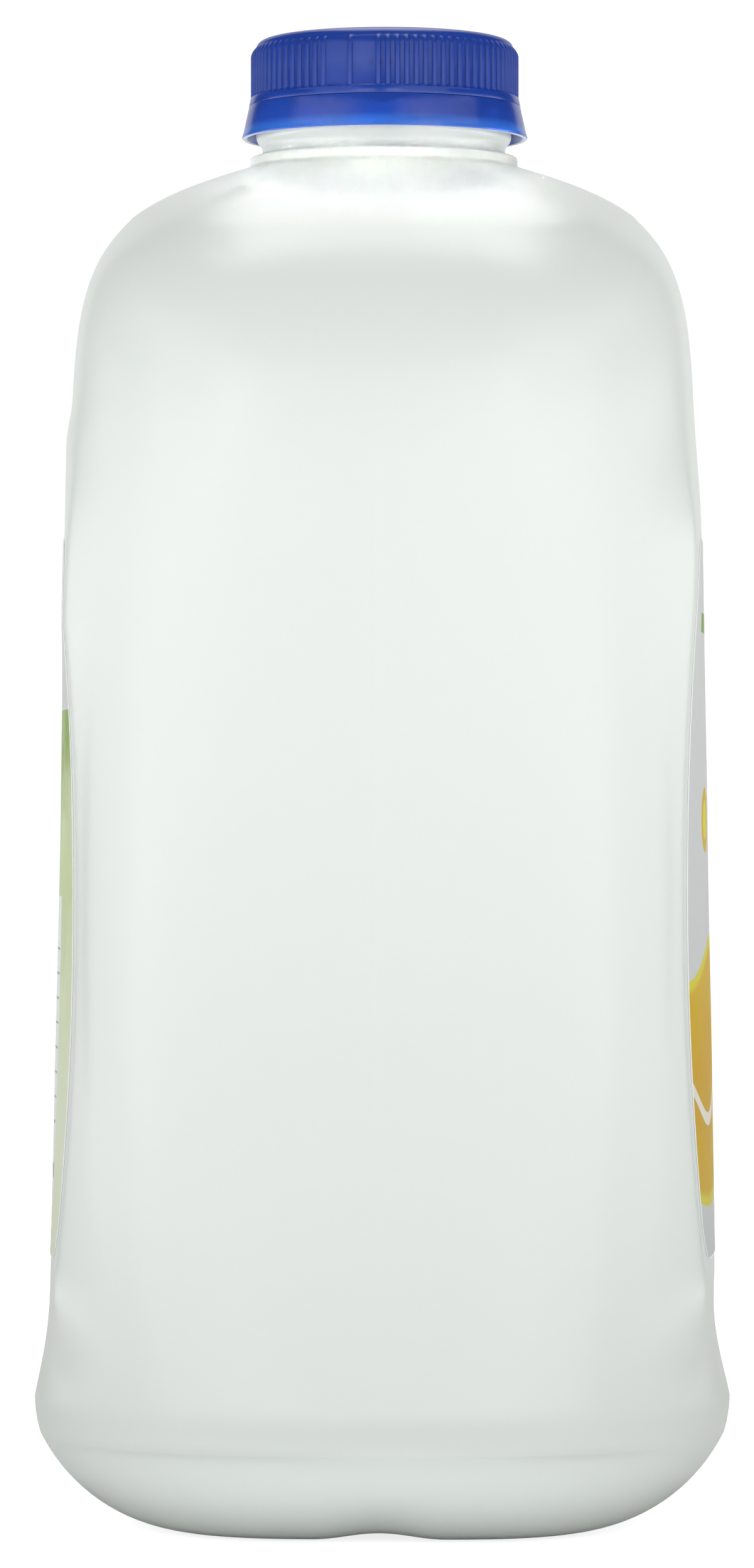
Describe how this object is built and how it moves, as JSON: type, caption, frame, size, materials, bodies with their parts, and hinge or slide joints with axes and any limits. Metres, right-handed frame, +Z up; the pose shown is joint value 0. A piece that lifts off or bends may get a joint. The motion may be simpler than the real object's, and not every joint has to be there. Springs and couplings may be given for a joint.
{
  "type": "lemonade jug",
  "caption": "Full, shut drink jug: waisted square post with rounded shoulders, raised label panels, pinched foot, ribbed screw cap and flared tamper band.",
  "frame": {"origin": "on the floor, on the vertical axis through the neck", "axes": "+Z up along the neck, +X out of the front label, -X out of the back label, -Y and +Y out of the blank sides"},
  "size_m": [0.1106, 0.1106, 0.2372],
  "materials": {
    "white_jug": "opaque white moulded plastic, soft satin gloss",
    "blue_cap": "royal blue moulded plastic, satin",
    "blue_band": "royal blue moulded plastic, glossy",
    "front_film": "printed film label, pale grey-white with a yellow fruit field",
    "back_film": "printed film label, pale green fading to cream"
  },
  "bodies": {
    "root": {"jug": "white_jug", "cap": "blue_cap", "tamper_band": "blue_band", "front_label": "front_film", "back_label": "back_film"}
  },
  "joints": []
}
